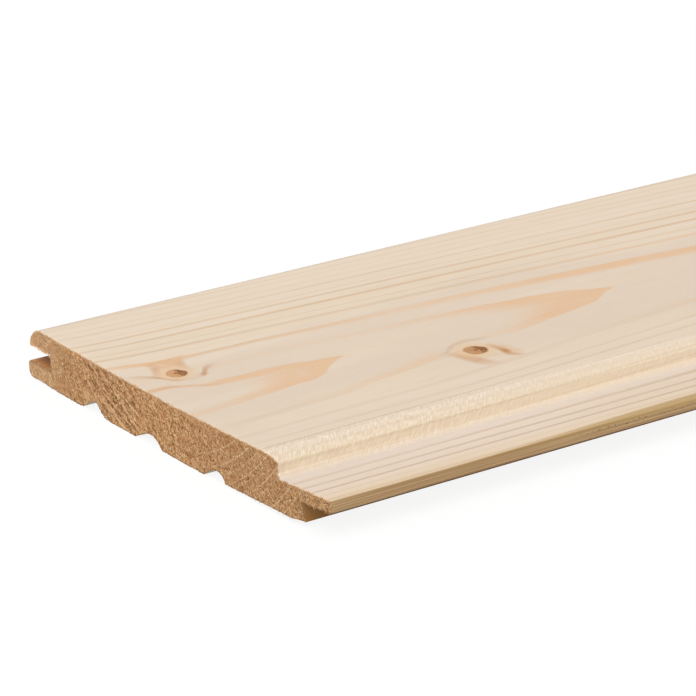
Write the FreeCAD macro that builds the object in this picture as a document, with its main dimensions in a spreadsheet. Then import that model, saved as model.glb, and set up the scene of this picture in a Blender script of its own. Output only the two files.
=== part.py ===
import FreeCAD, Part
import math
import os
import Sketcher

# Tongue and groove profile board, one piece of planed spruce, lying on its back with the face up.
# X runs along the board and Y across it, with the groove at +Y and the tongue at -Y. Z is up.
# The origin is at the middle of the length and of the overall width, on the level lands of the back.
# Widths are measured across the board from the edge of the lower lip, the one that sets the pitch.
# Angles are in degrees and everything else is in millimetres.

SIZES = [
    # Stock
    ("board_length", 2000.0, "a length that such boards are sold in"),
    ("cover_width", 111.2, "edge of the lower lip to the shoulder under the tongue"),
    ("tongue_length", 9.8, "shoulder to the tip of the tongue"),
    ("edge_thickness", 12.5, "face to back at the groove edge"),
    # The board has cupped a little since it was planed: its face is hollow
    ("cup_radius", 1300.0, "radius that the face has bent to"),
    ("lip_lift", 0.5, "how far the back rises to the edge of the lower lip"),
    ("shoulder_lift", 1.4, "how far the back rises to the shoulder"),
    ("ledge_lift", 0.2, "how far the ledge rises at the wall"),
    ("tongue_tilt", 3.6, "slope of the ledge and the tongue, up to the tip"),
    # Groove edge
    ("upper_lip", 4.8, "face to the upper wall of the groove"),
    ("upper_lip_setback", 0.65, "how far the upper lip stops short of the lower one"),
    ("face_round", 4.5, "rounding from the face over the upper lip"),
    ("groove_height", 3.7, "between the lips"),
    ("tongue_end_gap", 0.2, "inner wall of the groove to the tip of the next board's tongue"),
    ("groove_round", 1.4, "upper inner corner of the groove"),
    ("lower_lip_round", 1.0, "top of the lower lip's edge"),
    ("back_round", 1.9, "bottom of the lower lip's edge"),
    # Tongue edge: the face falls off, drops down a wall, and a ledge runs out along the tongue
    ("fall_width", 2.7, "where the face falls off to the wall"),
    ("fall_drop", 1.05, "how far the face has fallen at the wall"),
    ("fall_round", 11.0, "rounding where the face falls off"),
    ("ledge_width", 9.4, "wall to above the shoulder"),
    ("cove_round", 1.2, "foot of the wall"),
    ("tongue_gap", 0.85, "how much thinner the tongue is than the groove is high"),
    ("tip_round", 0.4, "corners of the tongue's tip"),
    # Relief grooves in the back: each has a gentle slope, a round crown and a steep wall
    ("relief_1_land", 23.9, "edge of the lower lip to the foot of the slope"),
    ("relief_1_width", 9.0, "foot to foot"),
    ("relief_1_slope", 31.0, "angle of the slope"),
    ("relief_1_wall", 45.0, "angle of the wall"),
    ("relief_1_crown", 1.8, "radius of the crown"),
    ("relief_1_slope_foot", 6.0, "rounding at the foot of the slope"),
    ("relief_1_wall_foot", 4.5, "rounding at the foot of the wall"),
    ("relief_2_land", 13.3, "groove before it to the foot of the slope"),
    ("relief_2_width", 11.0, "foot to foot"),
    ("relief_2_slope", 24.5, "angle of the slope"),
    ("relief_2_wall", 52.0, "angle of the wall"),
    ("relief_2_crown", 5.2, "radius of the crown"),
    ("relief_3_land", 16.6, "groove before it to the foot of the slope"),
    ("relief_3_width", 8.6, "foot to foot"),
    ("relief_3_slope", 31.8, "angle of the slope"),
    ("relief_3_wall", 58.0, "angle of the wall"),
    ("relief_3_crown", 3.8, "radius of the crown"),
    ("relief_3_wall_lift", 0.5, "foot of the wall above the level lands"),
]
LONGEST_REACH = 0.95  # share of a side that a rounding may use up


def make_sheet(doc):
    """The driving dimensions, one named cell each, with what it measures beside it."""
    sheet = doc.addObject("Spreadsheet::Sheet", "Sizes")
    for row, (alias, size, meaning) in enumerate(SIZES, start=1):
        sheet.set(f"A{row}", str(size))
        sheet.setAlias(f"A{row}", alias)
        sheet.set(f"B{row}", meaning)
    doc.recompute()
    return sheet


def across(distance):
    """Place across the board of a point this far from the edge of the lower lip."""
    return f"(Sizes.cover_width + Sizes.tongue_length) / 2 - ({distance})"


def limited(radius, side, turn):
    """A rounding's radius, no larger than its side has room for. The outline turns by turn there."""
    return f"min({radius}; {LONGEST_REACH} * ({side}) / tan(({turn}) / 2))"


def relief_end(number, start):
    """Where a relief groove's far foot is, with its land beginning at start."""
    return f"{start} + Sizes.relief_{number}_land + Sizes.relief_{number}_width"


def relief_corners(number, start, slope_foot=None, wall_foot=None, wall_lift="0"):
    """Corners of one relief groove, seen in the end of the board.

    The slope and the wall start from feet on the back, a width apart, and meet at a peak that the
    crown rounds off. With the wall's foot lifted off the level lands, the peak stands
    (width + lift / tan(wall)) / (1 / tan(slope) + 1 / tan(wall)) above them.
    """
    land, width, slope, wall, crown = (
        f"Sizes.relief_{number}_{name}" for name in ("land", "width", "slope", "wall", "crown")
    )
    foot = f"{start} + {land}"
    peak = f"({width} + {wall_lift} / tan({wall})) / (1 / tan({slope}) + 1 / tan({wall}))"
    wall_side = f"({peak} - {wall_lift}) / sin({wall})"
    return [
        (across(foot), "0", slope_foot),
        (across(f"{foot} + {peak} / tan({slope})"), peak, limited(crown, wall_side, f"{slope} + {wall}")),
        (across(relief_end(number, start)), wall_lift, wall_foot),
    ]


def section_corners():
    """Corners of the section, from the face round the groove, along the back and round the tongue.

    Each is (place across, height, radius of its rounding or None), as expressions. The first two
    are the ends of the cupped face, and the order is the tongue's end of the face first.
    """
    face = "Sizes.edge_thickness + Sizes.lip_lift"
    fall_side = "sqrt(Sizes.fall_width ^ 2 + Sizes.fall_drop ^ 2)"
    fall_round = limited("Sizes.fall_round", fall_side, "atan(Sizes.fall_drop / Sizes.fall_width)")
    face_round = limited("Sizes.face_round", "Sizes.upper_lip", "90")
    groove_top = f"{face} - Sizes.upper_lip"
    groove_bottom = f"{groove_top} - Sizes.groove_height"
    groove_depth = "Sizes.tongue_length + Sizes.tongue_end_gap"
    tip = "Sizes.cover_width + Sizes.tongue_length"
    wall = "Sizes.cover_width - Sizes.ledge_width"

    def ledge(distance):
        """Height of the ledge this far from the edge of the lower lip.

        The next board's upper lip lies on the ledge, so it is as deep as that lip is thick.
        """
        return f"{groove_top} + Sizes.ledge_lift + ({distance} - ({wall})) * tan(Sizes.tongue_tilt)"

    def under_tongue(distance):
        return f"{ledge(distance)} - (Sizes.groove_height - Sizes.tongue_gap)"

    relief_1_end = relief_end(1, "0")
    relief_2_end = relief_end(2, relief_1_end)
    return [
        (across(f"{wall} - Sizes.fall_width"), face, fall_round),
        (across("Sizes.upper_lip_setback"), face, face_round),
        (across("Sizes.upper_lip_setback"), groove_top, None),
        (across(groove_depth), groove_top, "Sizes.groove_round"),
        (across(groove_depth), groove_bottom, None),
        (across("0"), groove_bottom, "Sizes.lower_lip_round"),
        (across("0"), "Sizes.lip_lift", "Sizes.back_round"),
        *relief_corners(1, "0", "Sizes.relief_1_slope_foot", "Sizes.relief_1_wall_foot"),
        *relief_corners(2, relief_1_end),
        *relief_corners(3, relief_2_end, wall_lift="Sizes.relief_3_wall_lift"),
        (across("Sizes.cover_width"), "Sizes.shoulder_lift", None),
        (across("Sizes.cover_width"), under_tongue("Sizes.cover_width"), None),
        (across(tip), under_tongue(tip), "Sizes.tip_round"),
        (across(tip), ledge(tip), "Sizes.tip_round"),
        (across(wall), ledge(wall), "Sizes.cove_round"),
        (across(wall), f"{face} - Sizes.fall_drop", None),
    ]


def fix(sketch, constraint, expression):
    """Adds a constraint whose size is bound to an expression."""
    index = sketch.addConstraint(constraint)
    sketch.setExpression(f"Constraints[{index}]", expression)


def add_corner(sketch, place, height):
    """A construction point, held at its place across and its height. Returns its number."""
    x = sketch.evalExpression(place)
    y = sketch.evalExpression(height)
    point = sketch.addGeometry(Part.Point(FreeCAD.Vector(x, y, 0)), True)
    fix(sketch, Sketcher.Constraint("DistanceX", -1, 1, point, 1, x), place)
    fix(sketch, Sketcher.Constraint("DistanceY", -1, 1, point, 1, y), height)
    return point


def rounding(corner, before, after, radius):
    """The start, middle and end of the arc that rounds a corner between its two neighbours."""
    back = (before - corner).normalize()
    on = (after - corner).normalize()
    half = back.getAngle(on) / 2
    inward = (back + on).normalize()
    reach = radius / math.tan(half)
    centre = corner + inward * (radius / math.sin(half))
    return corner + back * reach, centre - inward * radius, corner + on * reach


def draw_section(sketch, corners):
    """A closed outline through the corners, rounded where a corner has a radius.

    Every side is a straight line but the first, the face, which is an arc. A side leaves a sharp
    corner from the corner itself, and a rounded one from the end of its arc, aimed at the corner.
    """
    points = [add_corner(sketch, place, height) for place, height, radius in corners]
    at = [sketch.getPoint(point, 1) for point in points]
    count = len(corners)

    arcs, leaves, enters = {}, {}, {}
    for i, (place, height, radius) in enumerate(corners):
        enters[i] = leaves[i] = at[i]
        if radius:
            size = sketch.evalExpression(radius)
            enters[i], middle, leaves[i] = rounding(at[i], at[i - 1], at[(i + 1) % count], size)
            arcs[i] = sketch.addGeometry(Part.Arc(enters[i], middle, leaves[i]), False)
            fix(sketch, Sketcher.Constraint("Radius", arcs[i], size), radius)

    def end_of(arc, spot):
        """Which end of an arc lies at the spot: 1 for its start or 2 for its end."""
        return min((1, 2), key=lambda end: (sketch.getPoint(arc, end) - spot).Length)

    for i in range(count):
        j = (i + 1) % count
        if i == 0:
            radius = sketch.evalExpression("Sizes.cup_radius")
            chord = leaves[i] - enters[j]
            middle = (leaves[i] + enters[j]) / 2 - FreeCAD.Vector(0, chord.Length**2 / (8 * radius), 0)
            side = sketch.addGeometry(Part.Arc(leaves[i], middle, enters[j]), False)
            fix(sketch, Sketcher.Constraint("Radius", side, radius), "Sizes.cup_radius")
        else:
            side = sketch.addGeometry(Part.LineSegment(leaves[i], enters[j]), False)
        for corner, spot in ((i, leaves[i]), (j, enters[j])):
            end = end_of(side, spot)
            if corner in arcs:
                arc = arcs[corner]
                sketch.addConstraint(Sketcher.Constraint("PointOnObject", points[corner], 1, side))
                sketch.addConstraint(Sketcher.Constraint("Tangent", side, end, arc, end_of(arc, spot)))
            else:
                sketch.addConstraint(Sketcher.Constraint("Coincident", side, end, points[corner], 1))


def make_board(doc):
    """The board: its section, carried along the length both ways from the middle."""
    body = doc.addObject("PartDesign::Body", "board")
    body.Label = "board"
    body.Placement = FreeCAD.Placement()

    section = body.newObject("Sketcher::SketchObject", "section")
    end_plane = next(plane for plane in body.Origin.OriginFeatures if plane.Role == "YZ_Plane")
    section.AttachmentSupport = [(end_plane, "")]
    section.MapMode = "FlatFace"
    doc.recompute()
    draw_section(section, section_corners())

    length = body.newObject("PartDesign::Pad", "length")
    length.Profile = section
    length.Midplane = True
    length.setExpression("Length", "Sizes.board_length")
    body.Tip = length
    doc.recompute()
    return body


def check(doc, boards):
    """Stops if an object failed to compute, or a board is no single valid solid."""
    for thing in doc.Objects:
        if {"Invalid", "Error"} & set(thing.State):
            raise RuntimeError(f"{thing.Label} failed: {thing.State}")
        if thing.isDerivedFrom("Sketcher::SketchObject") and not thing.FullyConstrained:
            raise RuntimeError(f"{thing.Label} is not fully constrained")
    for board in boards:
        if board.Shape.isNull() or not board.Shape.isValid() or len(board.Shape.Solids) != 1:
            raise RuntimeError(f"{board.Label} has no single valid solid")


doc = FreeCAD.newDocument("tongue_and_groove_board")
make_sheet(doc)
boards = [make_board(doc)]
check(doc, boards)

os.makedirs("parts", exist_ok=True)
for board in boards:
    board.Shape.exportStep(f"parts/{board.Label}.step")
    box = board.Shape.BoundBox
    print(f"{board.Label}: {board.Shape.Volume / 1000:.1f} cm3, {box}")
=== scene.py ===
import bpy
import numpy as np
from mathutils.geometry import delaunay_2d_cdt
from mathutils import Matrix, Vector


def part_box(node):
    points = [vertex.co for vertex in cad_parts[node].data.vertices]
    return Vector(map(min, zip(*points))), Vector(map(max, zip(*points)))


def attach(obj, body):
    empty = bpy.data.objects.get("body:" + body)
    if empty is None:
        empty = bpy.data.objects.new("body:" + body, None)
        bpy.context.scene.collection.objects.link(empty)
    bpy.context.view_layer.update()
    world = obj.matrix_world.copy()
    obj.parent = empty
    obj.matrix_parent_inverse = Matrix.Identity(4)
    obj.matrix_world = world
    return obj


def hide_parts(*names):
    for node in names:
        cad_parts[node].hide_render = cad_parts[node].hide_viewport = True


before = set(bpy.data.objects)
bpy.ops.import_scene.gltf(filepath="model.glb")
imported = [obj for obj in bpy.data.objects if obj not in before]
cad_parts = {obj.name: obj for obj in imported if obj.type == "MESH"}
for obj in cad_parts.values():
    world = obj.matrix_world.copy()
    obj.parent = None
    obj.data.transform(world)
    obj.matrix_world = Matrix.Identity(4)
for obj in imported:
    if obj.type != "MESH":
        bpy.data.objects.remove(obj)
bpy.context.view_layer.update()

lowest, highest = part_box("board")
MM = 0.001

# The camera stands low in front of the near end, on the tongue's side, and looks along the board.
# Its place is told from the near end of the face's groove edge, in millimetres.
CAMERA_BACK, CAMERA_ASIDE, CAMERA_ABOVE = 390.2, 658.25, 282.0
CAMERA_TURN, CAMERA_PITCH = -36.11, 69.398
CAMERA_LENS, CAMERA_SENSOR = 180.0, 36.0
FACE_START, FACE = 4.47, 13.0


def put_in(name, data):
    """A new object of the data, put in the scene."""
    made = bpy.data.objects.new(name, data)
    bpy.context.scene.collection.objects.link(made)
    return made


camera = put_in("camera", bpy.data.cameras.new("camera"))
camera.location = (
    lowest.x - CAMERA_BACK * MM,
    highest.y - (FACE_START + CAMERA_ASIDE) * MM,
    (FACE + CAMERA_ABOVE) * MM,
)
camera.rotation_euler = (np.radians(CAMERA_PITCH), 0, np.radians(CAMERA_TURN))
camera.data.lens = CAMERA_LENS
camera.data.sensor_width = CAMERA_SENSOR
camera.data.clip_end = 60.0
bpy.context.scene.camera = camera

# The board's section: one length of spruce, planed to this profile on a four-sided moulder. It is
# drawn from the face round the groove, along the back and round the tongue. "Across" is measured from
# the edge of the lower lip, "along" from the near end and heights from the back's lands, all in mm.
BOARD_LENGTH, OVERALL_WIDTH = 2000.0, 121.0
COVER_WIDTH, LIP_LIFT, SHOULDER_LIFT = 111.2, 0.5, 1.4
LIP_SETBACK, GROOVE_TOP, GROOVE_BOTTOM, GROOVE_DEPTH = 0.65, 8.2, 4.5, 10.0
FALL_START, WALL, WALL_TOP, WALL_FOOT = 99.1, 101.8, 11.95, 8.4
TONGUE_TILT, TONGUE_THICK = 3.6, 2.85
CUP_RADIUS = 1300.0
OUTLINE_STEP = 0.25


def ledge(across):
    """Height of the ledge and the tongue's top: the wall's foot, plus the slope times the distance."""
    return WALL_FOOT + (across - WALL) * np.tan(np.radians(TONGUE_TILT))


def relief_groove(start, width, slope, wall, crown, slope_foot=0.0, wall_foot=0.0, wall_lift=0.0):
    """Corners of a relief groove in the back, whose slope and wall meet at a peak that is rounded off.

    The peak stands (width + lift / tan(wall)) / (1 / tan(slope) + 1 / tan(wall)) above the lands.
    """
    tan_slope, tan_wall = np.tan(np.radians(slope)), np.tan(np.radians(wall))
    peak = (width + wall_lift / tan_wall) / (1 / tan_slope + 1 / tan_wall)
    return [
        (start, 0.0, slope_foot),
        (start + peak / tan_slope, peak, crown),
        (start + width, wall_lift, wall_foot),
    ]


# Each corner is (across, height, radius of its rounding). The first two are the ends of the face.
section_corners = [
    (FALL_START, FACE, 11.0),
    (LIP_SETBACK, FACE, 4.5),
    (LIP_SETBACK, GROOVE_TOP, 0.0),
    (GROOVE_DEPTH, GROOVE_TOP, 1.4),
    (GROOVE_DEPTH, GROOVE_BOTTOM, 0.0),
    (0.0, GROOVE_BOTTOM, 1.0),
    (0.0, LIP_LIFT, 1.9),
    *relief_groove(23.9, 9.0, 31.0, 45.0, 1.8, slope_foot=6.0, wall_foot=4.5),
    *relief_groove(46.2, 11.0, 24.5, 52.0, 5.2),
    *relief_groove(73.8, 8.6, 31.8, 58.0, 3.8, wall_lift=0.5),
    (COVER_WIDTH, SHOULDER_LIFT, 0.0),
    (COVER_WIDTH, ledge(COVER_WIDTH) - TONGUE_THICK, 0.0),
    (OVERALL_WIDTH, ledge(OVERALL_WIDTH) - TONGUE_THICK, 0.4),
    (OVERALL_WIDTH, ledge(OVERALL_WIDTH), 0.4),
    (WALL, WALL_FOOT, 1.2),
    (WALL, WALL_TOP, 0.0),
]


def face_hollow(across):
    """How far the cupped face lies under its two edges: (half width ^ 2 - distance ^ 2) / (2 radius)."""
    middle, half = (FALL_START + LIP_SETBACK) / 2, (FALL_START - LIP_SETBACK) / 2
    return np.clip(half**2 - (across - middle) ** 2, 0, None) / (2 * CUP_RADIUS)


def section_outline(corners, step):
    """The section's outline, as (across, height) points about a step apart.

    A rounded corner is an arc tangent to both its sides. It reaches radius / tan(half) along each,
    where half is half the angle between them, and its centre is radius / sin(half) from the corner.
    The first side is the face. It leaves both its corners at the lean of the cup's arc.
    """
    at = np.array([corner[:2] for corner in corners])
    radius = np.array([corner[2] for corner in corners])[:, None]
    back, on = np.roll(at, 1, axis=0) - at, np.roll(at, -1, axis=0) - at
    back /= np.linalg.norm(back, axis=1)[:, None]
    on /= np.linalg.norm(on, axis=1)[:, None]
    lean = np.arcsin((FALL_START - LIP_SETBACK) / 2 / CUP_RADIUS)
    on[0] = -np.cos(lean), -np.sin(lean)
    back[1] = np.cos(lean), -np.sin(lean)
    half = np.arccos(np.sum(back * on, axis=1))[:, None] / 2
    inward = (back + on) / (2 * np.cos(half))
    tangent = (on - back) / (2 * np.sin(half))
    centre = at + inward * radius / np.sin(half)
    enter, leave = at + back * radius / np.tan(half), at + on * radius / np.tan(half)
    stretches = []
    for i in range(len(at)):
        if radius[i] > 0:
            turn = np.pi - 2 * half[i]
            count = max(int(radius[i, 0] * turn[0] / step), 4)
            swing = (np.arange(count)[:, None] / count - 0.5) * turn
            spoke = np.sin(swing) * tangent[i] - np.cos(swing) * inward[i]
            stretches.append(centre[i] + radius[i] * spoke)
        side = enter[(i + 1) % len(at)] - leave[i]
        count = max(int(np.linalg.norm(side) / step), 1)
        run = leave[i] + side * np.arange(count)[:, None] / count
        if i == 0:
            run[:, 1] = FACE - face_hollow(run[:, 0])
        stretches.append(run)
    return np.concatenate(stretches)


outline = section_outline(section_corners, OUTLINE_STEP)
rim_count = len(outline)
step_on = np.roll(outline, -1, axis=0) - outline
step_on /= np.linalg.norm(step_on, axis=1)[:, None]
heading = step_on + np.roll(step_on, 1, axis=0)
heading /= np.linalg.norm(heading, axis=1)[:, None]
into_wood = np.stack([-heading[:, 1], heading[:, 0]], axis=1)

# The growth rings: the tree's heart runs above the face, so the rings are arcs in the sawn ends, long
# lines on both sides of the face and pointed flames along its middle. A ring is named by its distance
# from the heart in mm where its late wood ends, and it is a little wider towards the tongue.
HEART_ACROSS, HEART_DRIFT = 57.6, 0.008
HEART_HEIGHT, HEART_RISE = 48.1, 0.030
STRAIGHT_RUN = 250.0
SIDE_SWING, SIDE_RUN = 5.6, 700.0
RISE_SWING, RISE_RUN = 9.0, 300.0
GROOVE_SIDE_RINGS = (
    30.0, 32.6, 35.0, 37.42, 39.97, 42.9, 45.75, 47.4, 50.15, 52.75, 54.3, 57.0, 59.2, 61.6, 63.7, 65.9
)
TONGUE_SIDE_RINGS = (
    30.0, 32.6, 35.0, 37.42, 39.97, 44.8, 48.6, 51.1, 53.7, 54.9, 57.8, 59.5, 63.6, 66.6, 69.2, 71.4
)
OUTER_RING_WIDTH = 2.2
SIDES_MEET = (-10.0, 14.0)
# Near the end the rings still come in from where they were cut: (distance from the heart, shift)
END_SHIFT = (
    (34.0, 0.2), (37.5, 0.35), (40.5, 2.0), (42.0, 2.4), (45.8, 1.2), (49.0, 0.6), (55.0, 0.0), (60.0, -0.3),
    (63.0, 0.0), (66.0, -0.3),
)
END_SHIFT_RUN = (40.0, 110.0)
OUTER_SHIFT = ((42.5, 0.0), (45.5, 1.0), (50.0, 1.0), (55.0, 0.8), (60.0, 0.3), (64.0, 0.0))
OUTER_SHIFT_ALONG = ((0.0, 0.35), (30.0, 0.55), (62.0, 1.1), (85.0, 0.8), (100.0, 0.6), (130.0, 0.0))
LEDGE_SHIFT, LEDGE_SHIFT_FROM = 0.011, (100.0, 108.0)
GROOVE_SHIFT, GROOVE_SHIFT_RUN = ((41.0, 0.0), (43.0, 0.9), (45.5, 0.95), (60.0, 0.95)), 10.0


def smooth(value, low, high):
    """0 under low and 1 over high, with t^2 (3 - 2 t) between."""
    t = np.clip((value - low) / (high - low), 0, 1)
    return t * t * (3 - 2 * t)


def heart(along):
    """Where the heart runs: it drifts evenly at first, and beyond the straight run it swings as a sine."""
    near, far = min(along, STRAIGHT_RUN), max(along - STRAIGHT_RUN, 0.0)
    return (
        HEART_ACROSS + HEART_DRIFT * near + SIDE_SWING * np.sin(far / SIDE_RUN),
        HEART_HEIGHT + HEART_RISE * near + RISE_SWING * np.sin(far / RISE_RUN),
    )


def ring_number(across, height, along):
    """Which ring a place is in, counted outwards: its distance from the heart, less the shifts near
    the end, read off both sides' lists of rings, and those two blended over the middle."""
    heart_across, heart_height = heart(along)
    sideways = across - heart_across
    radius = np.hypot(sideways, heart_height - height)
    numbers = np.arange(len(GROOVE_SIDE_RINGS))
    groove = radius - np.interp(radius, *zip(*GROOVE_SHIFT)) * np.exp(-along / GROOVE_SHIFT_RUN)
    tongue = radius - np.interp(radius, *zip(*END_SHIFT)) * (1 - smooth(along, *END_SHIFT_RUN))
    outer = np.interp(radius, *zip(*OUTER_SHIFT)) * np.interp(along, *zip(*OUTER_SHIFT_ALONG))
    tongue = tongue - outer - LEDGE_SHIFT * min(along, STRAIGHT_RUN) * smooth(across, *LEDGE_SHIFT_FROM)
    counts = []
    for distance, rings in ((groove, GROOVE_SIDE_RINGS), (tongue, TONGUE_SIDE_RINGS)):
        beyond = np.clip(distance - rings[-1], 0, None) / OUTER_RING_WIDTH
        counts.append(np.interp(distance, rings, numbers) + beyond)
    side = smooth(sideways, *SIDES_MEET)
    return counts[0] * (1 - side) + counts[1] * side


# The sawn ends: a coarse blade cut the board to length and left the end grain rough. Its teeth tore
# fibres out in short slanted strokes, deepest left of the middle, and frayed the arris all round.
SAW_SLANT = 50.0
NEAR_END_STEP, FAR_END_STEP = 0.225, 0.33
# The marks, as (width, length) in mm, and how much each of them and proud late wood count in the depth
STROKES, BREAKS, GROOVES, PITS = (0.29, 1.25), (0.25, 0.55), (0.50, 3.2), (0.36, 1.0)
STROKE_SHARE, BREAK_SHARE, GROOVE_SHARE, PIT_SHARE, PROUD_SHARE = 0.30, 0.32, 0.34, 0.30, 0.20
CUT_BACK, SAW_DEPTH, LEAST_DEPTH = 0.32, 0.31, 0.02
CORNER_CHIP, LIP_CHIP, TONGUE_CHIP = 0.95, 0.22, 0.45
FRAY, FRAY_SPIKES, FRAY_INWARD = 0.20, 1.15, 0.35
SPIKE_WIDTH, CLUMP_WIDTH, WAVE_WIDTH = 0.42, 2.2, 7.0
FRAY_FADE, FRAY_REACH = 0.7, 1.6
PARTS = 40


def rough(u, v, seed):
    """Smooth noise from -1 to 1 over the plane: random heights at whole numbers of u and v, and
    between them a smoothstep blend of the four around, (3 t^2 - 2 t^3) each way."""
    table = np.random.default_rng(seed).uniform(-1, 1, (256, 256))
    i, j = np.floor(u).astype(int), np.floor(v).astype(int)
    s, t = u - i, v - j
    s, t = s * s * (3 - 2 * s), t * t * (3 - 2 * t)
    i0, i1, j0, j1 = i % 256, (i + 1) % 256, j % 256, (j + 1) % 256
    low = table[i0, j0] * (1 - s) + table[i1, j0] * s
    high = table[i0, j1] * (1 - s) + table[i1, j1] * s
    return low * (1 - t) + high * t


def by_slant(across, height):
    """A place told down the saw's strokes and over them."""
    slant = np.radians(SAW_SLANT)
    return across * np.cos(slant) - height * np.sin(slant), across * np.sin(slant) + height * np.cos(slant)


def saw_tear(across, height, along, seed):
    """How deep the saw tore the end grain, from 0 on the highest ridges to 1 in the pits.

    Strokes run down the slant of the blade's teeth, so one noise is long down them and short across.
    A second one breaks them up, a third follows the rings, where early wood tore out in long grooves,
    and pits are where a fourth goes over a limit. Thin late wood stands a little proud.
    """
    down, over = by_slant(across, height)
    heart_across, heart_height = heart(along)
    radius = np.hypot(across - heart_across, heart_height - height)
    round_heart = radius * np.arctan2(across - heart_across, heart_height - height)
    strokes = rough(over / STROKES[0], down / STROKES[1], seed)
    broken = rough(over / BREAKS[0] + 7, down / BREAKS[1] + 3, seed + 1)
    grooves = rough(radius / GROOVES[0], round_heart / GROOVES[1], seed + 2)
    pits = smooth(rough(over / PITS[0] + 31, down / PITS[1] + 11, seed + 3), 0.42, 0.78)
    torn = 0.45 + 0.55 * smooth(across, 13, 24) - 0.30 * smooth(across, 62, 76)
    grooved = smooth(across, 14, 22) * (1 - smooth(across, 40, 54))
    proud = smooth(ring_number(across, height, along) % 1.0, 0.84, 0.93) * smooth(across, 74, 90)
    relief = STROKE_SHARE * strokes + BREAK_SHARE * broken + GROOVE_SHARE * grooves * grooved
    return np.clip(0.5 + (relief + PIT_SHARE * pits) * torn - PROUD_SHARE * proud, 0, 1)


def chipped(across, height):
    """How much further back the end is, in mm, where the saw left the wood: the lower corner by the
    shoulder is broken off, and the lips and the tongue's edge a little."""
    corner = smooth(across, COVER_WIDTH - 4.2, COVER_WIDTH) * (1 - smooth(height, 1.5, 6.0))
    lips = 1 - smooth(across, 6.0, 12.0)
    tongue = smooth(across, OVERALL_WIDTH - 6.0, OVERALL_WIDTH)
    return CORNER_CHIP * corner + LIP_CHIP * lips + TONGUE_CHIP * tongue


def fray_depth(seed):
    """How far the arris is torn back at each outline point, in mm.

    It is a low even part and narrow spikes, the square of a fine noise, in clumps set by a slow one.
    The face, the fall and the ledge are frayed most, because the teeth came out there.
    """
    run = np.arange(rim_count) * OUTLINE_STEP
    fine = (0.5 + 0.5 * rough(run / SPIKE_WIDTH, run * 0, seed)) ** 2
    clump = 0.5 + 0.3 * rough(run / CLUMP_WIDTH, run * 0 + 9, seed)
    clump += 0.2 * rough(run / WAVE_WIDTH, run * 0 + 21, seed)
    shown = smooth(outline[:, 1], 7.0, 8.3) * smooth(outline[:, 0], 1.0, 5.0)
    return (FRAY + FRAY_SPIKES * fine * clump) * (0.30 + 0.70 * shown)


def end_surface(along, step, seed):
    """The sawn end: points inside the outline on a grid of triangles, and how deep each is torn.

    Near the outline the depth blends into that of the frayed arris, which is also drawn inward. The
    points are sorted out part by part, to spare memory: inside are those with an odd number of
    crossings of the outline to one side.
    Returns across and height, depth in mm, tear from 0 to 1, and the distance to the outline.
    """
    torn_back = fray_depth(seed)
    rim = outline + into_wood * (FRAY_INWARD * torn_back)[:, None]
    fray = np.clip(torn_back + chipped(outline[:, 0], outline[:, 1]), 0, 0.93 * FRAY_REACH)
    row_gap = step * np.sqrt(3) / 2
    columns, rows = np.meshgrid(
        np.arange(0, OVERALL_WIDTH, step), np.arange(0, FACE, row_gap), indexing="ij"
    )
    columns = columns + step / 2 * (np.round(rows / row_gap) % 2)
    grid = np.stack([columns.ravel(), rows.ravel()], axis=1)
    grid += np.random.default_rng(seed).uniform(-0.2, 0.2, grid.shape) * step
    start, end = rim[:, None], np.roll(rim, -1, axis=0)[:, None]
    inside = np.zeros(len(grid), bool)
    for part in np.array_split(np.arange(len(grid)), PARTS):
        x, y = grid[part, 0], grid[part, 1]
        crosses = (start[..., 1] > y) != (end[..., 1] > y)
        rise = np.where(crosses, end[..., 1] - start[..., 1], 1.0)
        cut = start[..., 0] + (y - start[..., 1]) * (end[..., 0] - start[..., 0]) / rise
        inside[part] = np.sum(crosses & (x < cut), axis=0) % 2 == 1
    grid = grid[inside]
    nearest = np.zeros(len(grid), int)
    distance = np.zeros(len(grid))
    for part in np.array_split(np.arange(len(grid)), PARTS):
        gaps = np.linalg.norm(grid[part, None] - rim[None], axis=2)
        nearest[part] = gaps.argmin(axis=1)
        distance[part] = gaps.min(axis=1)
    clear = distance > 0.6 * step
    grid, nearest, distance = grid[clear], nearest[clear], distance[clear]
    tear = saw_tear(grid[:, 0], grid[:, 1], along, seed)
    inner = smooth(distance, 0.0, FRAY_FADE)
    deep = CUT_BACK + SAW_DEPTH * (tear - 0.5) + chipped(grid[:, 0], grid[:, 1])
    depth = deep * inner + fray[nearest] * (1 - inner)
    rim_tear = saw_tear(rim[:, 0], rim[:, 1], along, seed)
    return (
        np.concatenate([rim, grid]),
        np.concatenate([fray, np.clip(depth, LEAST_DEPTH, None)]),
        np.concatenate([rim_tear, tear]),
        np.concatenate([np.zeros(len(rim)), distance]),
    )


def fill(points):
    """Triangles that join the points inside the outline, which is made of the first of them."""
    edges = np.stack([np.arange(rim_count), np.roll(np.arange(rim_count), -1)], axis=1)
    made = delaunay_2d_cdt(points.tolist(), edges.tolist(), [], 1, 1e-6)
    if len(made[0]) != len(points):
        raise RuntimeError("the sawn end's points were merged")
    return np.array(made[2])


near_points, near_depth, near_tear, near_inset = end_surface(0.0, NEAR_END_STEP, 11)
far_points, far_depth, far_tear, far_inset = end_surface(BOARD_LENGTH, FAR_END_STEP, 47)
near_faces, far_faces = fill(near_points), fill(far_points)

# The board's long surfaces: the outline carried along the length. The stations crowd at the ends,
# where the arris is frayed back and rolled over, and are far apart on the straight run between.
near_stations = np.array([0.0, 0.12, 0.27, 0.45, 0.7, 1.05, FRAY_REACH, 5.0, 20.0])
middle_stations = np.linspace(100.0, BOARD_LENGTH - 100.0, 7)
SHARP_FROM = 38.0
stations = np.concatenate([near_stations, middle_stations, (BOARD_LENGTH - near_stations)[::-1]])


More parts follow.
